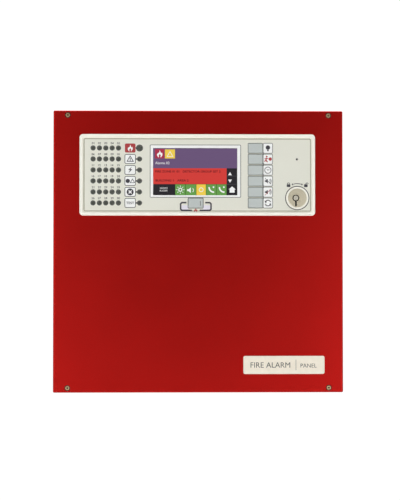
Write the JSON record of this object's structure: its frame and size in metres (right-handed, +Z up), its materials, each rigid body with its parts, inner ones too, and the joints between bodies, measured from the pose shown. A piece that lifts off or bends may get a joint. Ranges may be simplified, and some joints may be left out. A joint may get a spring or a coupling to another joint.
{
  "type": "fire alarm control panel",
  "caption": "Wall-mounted fire alarm panel: steel box and pull-off cover with a console of zone lamps, touch display, keys and key switch.",
  "frame": {"origin": "centre of the back box's rear face, where it meets the wall", "axes": "X to the viewer's right, Z up, -Y out of the wall towards the viewer"},
  "size_m": [0.33, 0.084, 0.321],
  "materials": {
    "red_paint": "satin powder coat",
    "grommet_plastic": "matt moulded",
    "plated_brass": "nickel plated",
    "board_laminate": "solder mask",
    "zinc_steel": "zinc plated",
    "bronze_steel": "bronzed",
    "terminal_green": "moulded",
    "relay_black": "moulded",
    "capacitor_sleeve": "shrunk sleeve",
    "chip_epoxy": "moulded",
    "anodised": "black anodised",
    "socket_shell": "tinned",
    "fuse_glass": "glass and plated caps",
    "ribbon_grey": "extruded",
    "supply_aluminium": "mill finish",
    "supply_board": "laminate",
    "terminal_black": "moulded",
    "terminal_cream": "moulded",
    "battery_case": "moulded",
    "battery_lid": "moulded",
    "crimp_sleeve": "insulating sleeve",
    "lead_sheath": "PVC sheath",
    "lead_sheath_small": "PVC sheath",
    "label_white": "printed label",
    "bezel_white": "moulded",
    "foil_cream": "printed film",
    "screen_glass": "bonded glass",
    "lens_smoke": "clear moulded",
    "key_rubber": "matt moulded",
    "lock_metal": "satin nickel"
  },
  "bodies": {
    "cabinet": {"back_box": "red_paint", "cable_entry_plugs": "grommet_plastic", "board_standoffs": "plated_brass", "motherboard": "board_laminate", "inner_screws": "zinc_steel", "loop_terminals": "terminal_green", "output_terminals": "terminal_green", "terminal_screws": "plated_brass", "relays": "relay_black", "filter_capacitors": "capacitor_sleeve", "processor_chips": "chip_epoxy", "power_inductor": "chip_epoxy", "heat_sink": "anodised", "network_socket": "socket_shell", "board_fuse": "fuse_glass", "power_inlets": "relay_black", "ribbon_header": "relay_black", "ribbon_cable": "ribbon_grey", "ribbon_plugs": "relay_black", "psu_base": "supply_aluminium", "psu_cover": "supply_aluminium", "psu_board": "supply_board", "psu_terminals": "terminal_black", "mains_terminal_block": "terminal_cream", "earth_stud": "plated_brass", "earth_nuts": "plated_brass", "battery_cases": "battery_case", "battery_lids": "battery_lid", "battery_tabs": "zinc_steel", "crimp_connectors": "crimp_sleeve", "battery_leads": "lead_sheath", "battery_link_lead": "lead_sheath", "psu_leads": "lead_sheath_small", "mains_leads": "lead_sheath_small"},
    "cover": {"front_cover": "red_paint", "cover_screws": "bronze_steel", "nameplate": "label_white", "bezel": "bezel_white", "overlay_foil": "foil_cream", "retaining_frame": "zinc_steel", "console_screws": "zinc_steel", "display_frame": "zinc_steel", "display_glass": "screen_glass", "console_board": "board_laminate", "zone_led_lenses": "lens_smoke", "status_led_lenses": "lens_smoke", "tact_switches": "socket_shell", "buzzer": "relay_black", "console_header": "relay_black", "lock_barrel": "lock_metal", "lock_nut": "zinc_steel", "lock_switch": "relay_black"},
    "lock_plug": {"lock_plug": "lock_metal"},
    "key_1": {"key_1": "key_rubber"},
    "key_2": {"key_2": "key_rubber"},
    "key_3": {"key_3": "key_rubber"},
    "key_4": {"key_4": "key_rubber"},
    "key_5": {"key_5": "key_rubber"},
    "key_6": {"key_6": "key_rubber"},
    "alarm_key": {"alarm_key": "key_rubber"}
  },
  "joints": [
    {"name": "cover_pull_off", "type": "slide", "parent": "cabinet", "child": "cover", "axis": [0, -1, 0], "range_m": [0, 0.15]},
    {"name": "key_switch_turn", "type": "hinge", "parent": "cover", "child": "lock_plug", "pos_m": [0.111, -0.078, 0.0607], "axis": [0, 1, 0], "range_deg": [0, 90]},
    {"name": "key_1_press", "type": "slide", "parent": "cover", "child": "key_1", "axis": [0, 1, 0], "range_m": [0, 0.0005], "stiffness_N_per_m": 600},
    {"name": "key_2_press", "type": "slide", "parent": "cover", "child": "key_2", "axis": [0, 1, 0], "range_m": [0, 0.0005], "stiffness_N_per_m": 600},
    {"name": "key_3_press", "type": "slide", "parent": "cover", "child": "key_3", "axis": [0, 1, 0], "range_m": [0, 0.0005], "stiffness_N_per_m": 600},
    {"name": "key_4_press", "type": "slide", "parent": "cover", "child": "key_4", "axis": [0, 1, 0], "range_m": [0, 0.0005], "stiffness_N_per_m": 600},
    {"name": "key_5_press", "type": "slide", "parent": "cover", "child": "key_5", "axis": [0, 1, 0], "range_m": [0, 0.0005], "stiffness_N_per_m": 600},
    {"name": "key_6_press", "type": "slide", "parent": "cover", "child": "key_6", "axis": [0, 1, 0], "range_m": [0, 0.0005], "stiffness_N_per_m": 600},
    {"name": "alarm_key_press", "type": "slide", "parent": "cover", "child": "alarm_key", "axis": [0, 1, 0], "range_m": [0, 0.0005], "stiffness_N_per_m": 600}
  ]
}
